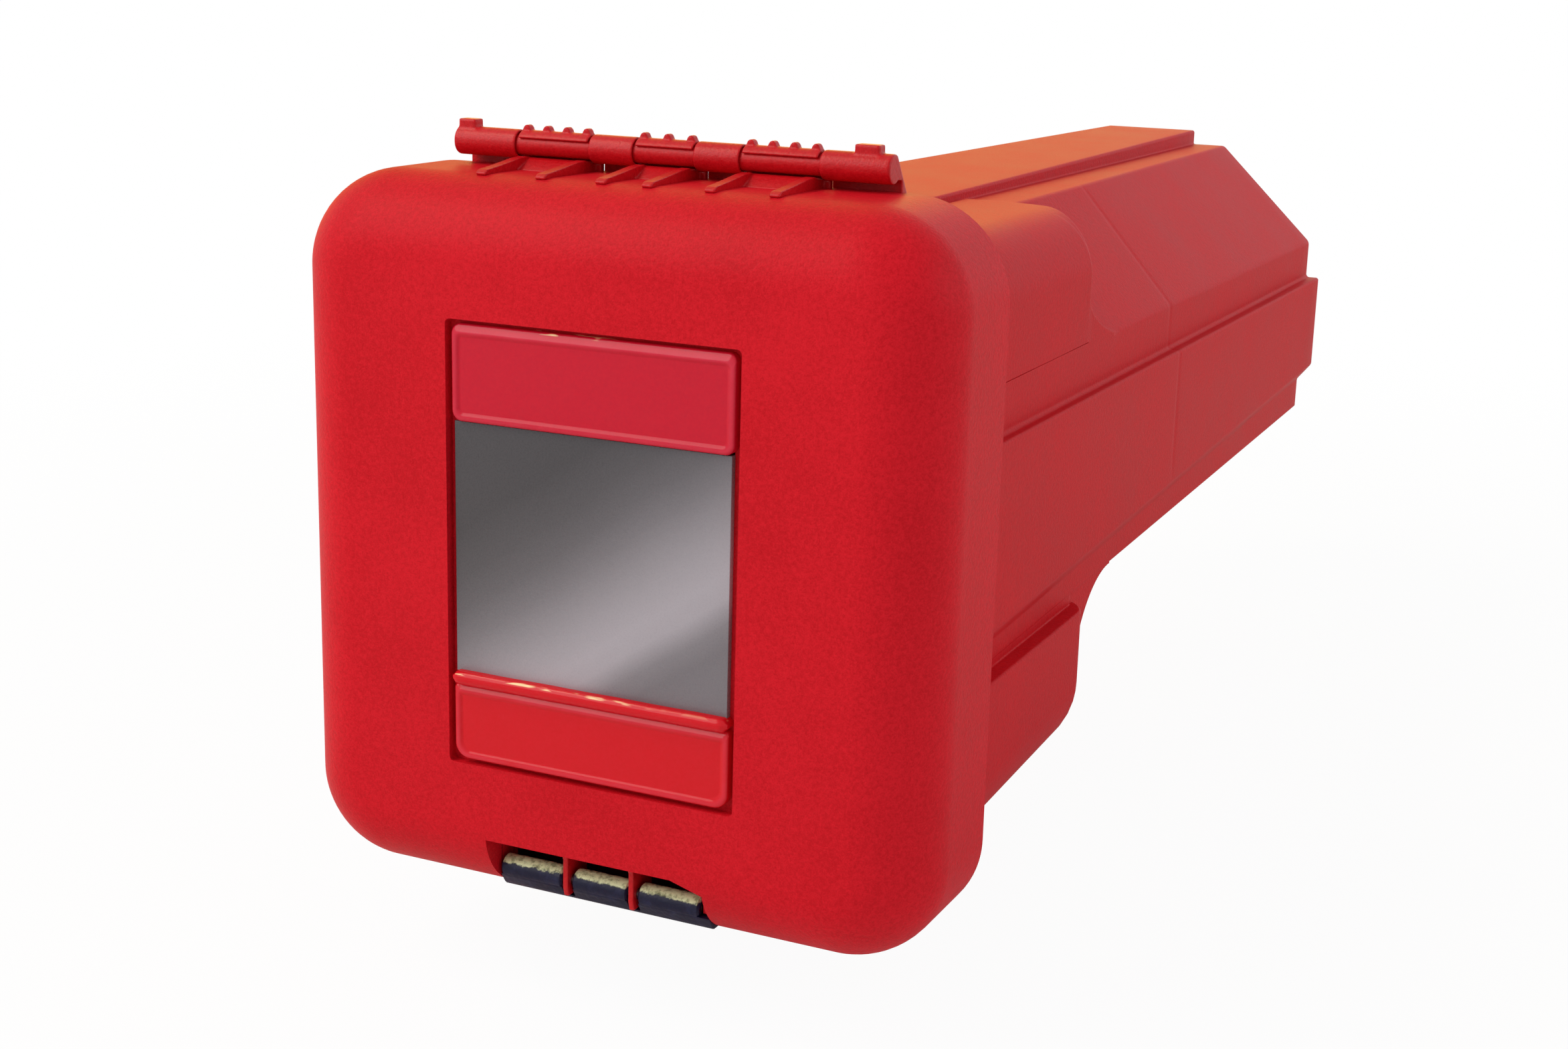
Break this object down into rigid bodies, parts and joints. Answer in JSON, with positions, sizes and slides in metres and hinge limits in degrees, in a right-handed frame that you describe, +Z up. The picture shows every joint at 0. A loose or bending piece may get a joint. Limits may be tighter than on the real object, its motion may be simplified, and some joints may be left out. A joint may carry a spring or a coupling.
{
  "type": "front-loading fire extinguisher box",
  "caption": "Tapered moulded box with a hinged front lid, a smoked window and a pull latch, bolted up by its flat top strip to hold one extinguisher lying down.",
  "frame": {"origin": "centre of the flat strip along the top of the body, where the box is bolted up", "axes": "+X to the right seen from the front, +Y from the lid towards the back, +Z up"},
  "size_m": [0.27, 0.7025, 0.2956],
  "materials": {
    "red_plastic": "fine-grained satin polyethylene",
    "crimson_gloss": "glossy domed label",
    "smoked_window": "clear smoked sheet",
    "black_rubber": "smooth, slightly glossy",
    "plated_steel": "plated"
  },
  "bodies": {
    "body": {"body_shell": "red_plastic", "mouth_flange": "red_plastic", "hinge_knuckle_outer_left": "red_plastic", "hinge_knuckle_inner_left": "red_plastic", "hinge_knuckle_inner_right": "red_plastic", "hinge_knuckle_outer_right": "red_plastic", "hinge_rod": "red_plastic"},
    "lid": {"lid_shell": "red_plastic", "lid_hinge_arm_left": "red_plastic", "lid_hinge_arm_centre": "red_plastic", "lid_hinge_arm_right": "red_plastic", "window_panel": "smoked_window", "label_pad_upper": "crimson_gloss", "label_pad_lower": "crimson_gloss", "label_roll": "crimson_gloss", "latch_rib_left": "red_plastic", "latch_rib_right": "red_plastic", "latch_pin": "plated_steel"},
    "latch": {"latch_strap": "black_rubber", "latch_bead_left": "black_rubber", "latch_bead_centre": "black_rubber", "latch_bead_right": "black_rubber"}
  },
  "joints": [
    {"name": "lid_hinge", "type": "hinge", "parent": "body", "child": "lid", "pos_m": [0, -0.32385, 0.0277], "axis": [-1, 0, 0], "range_deg": [0, 115]},
    {"name": "latch_pivot", "type": "hinge", "parent": "lid", "child": "latch", "pos_m": [0, -0.36865, -0.249], "axis": [-1, 0, 0], "range_deg": [0, 90]}
  ]
}
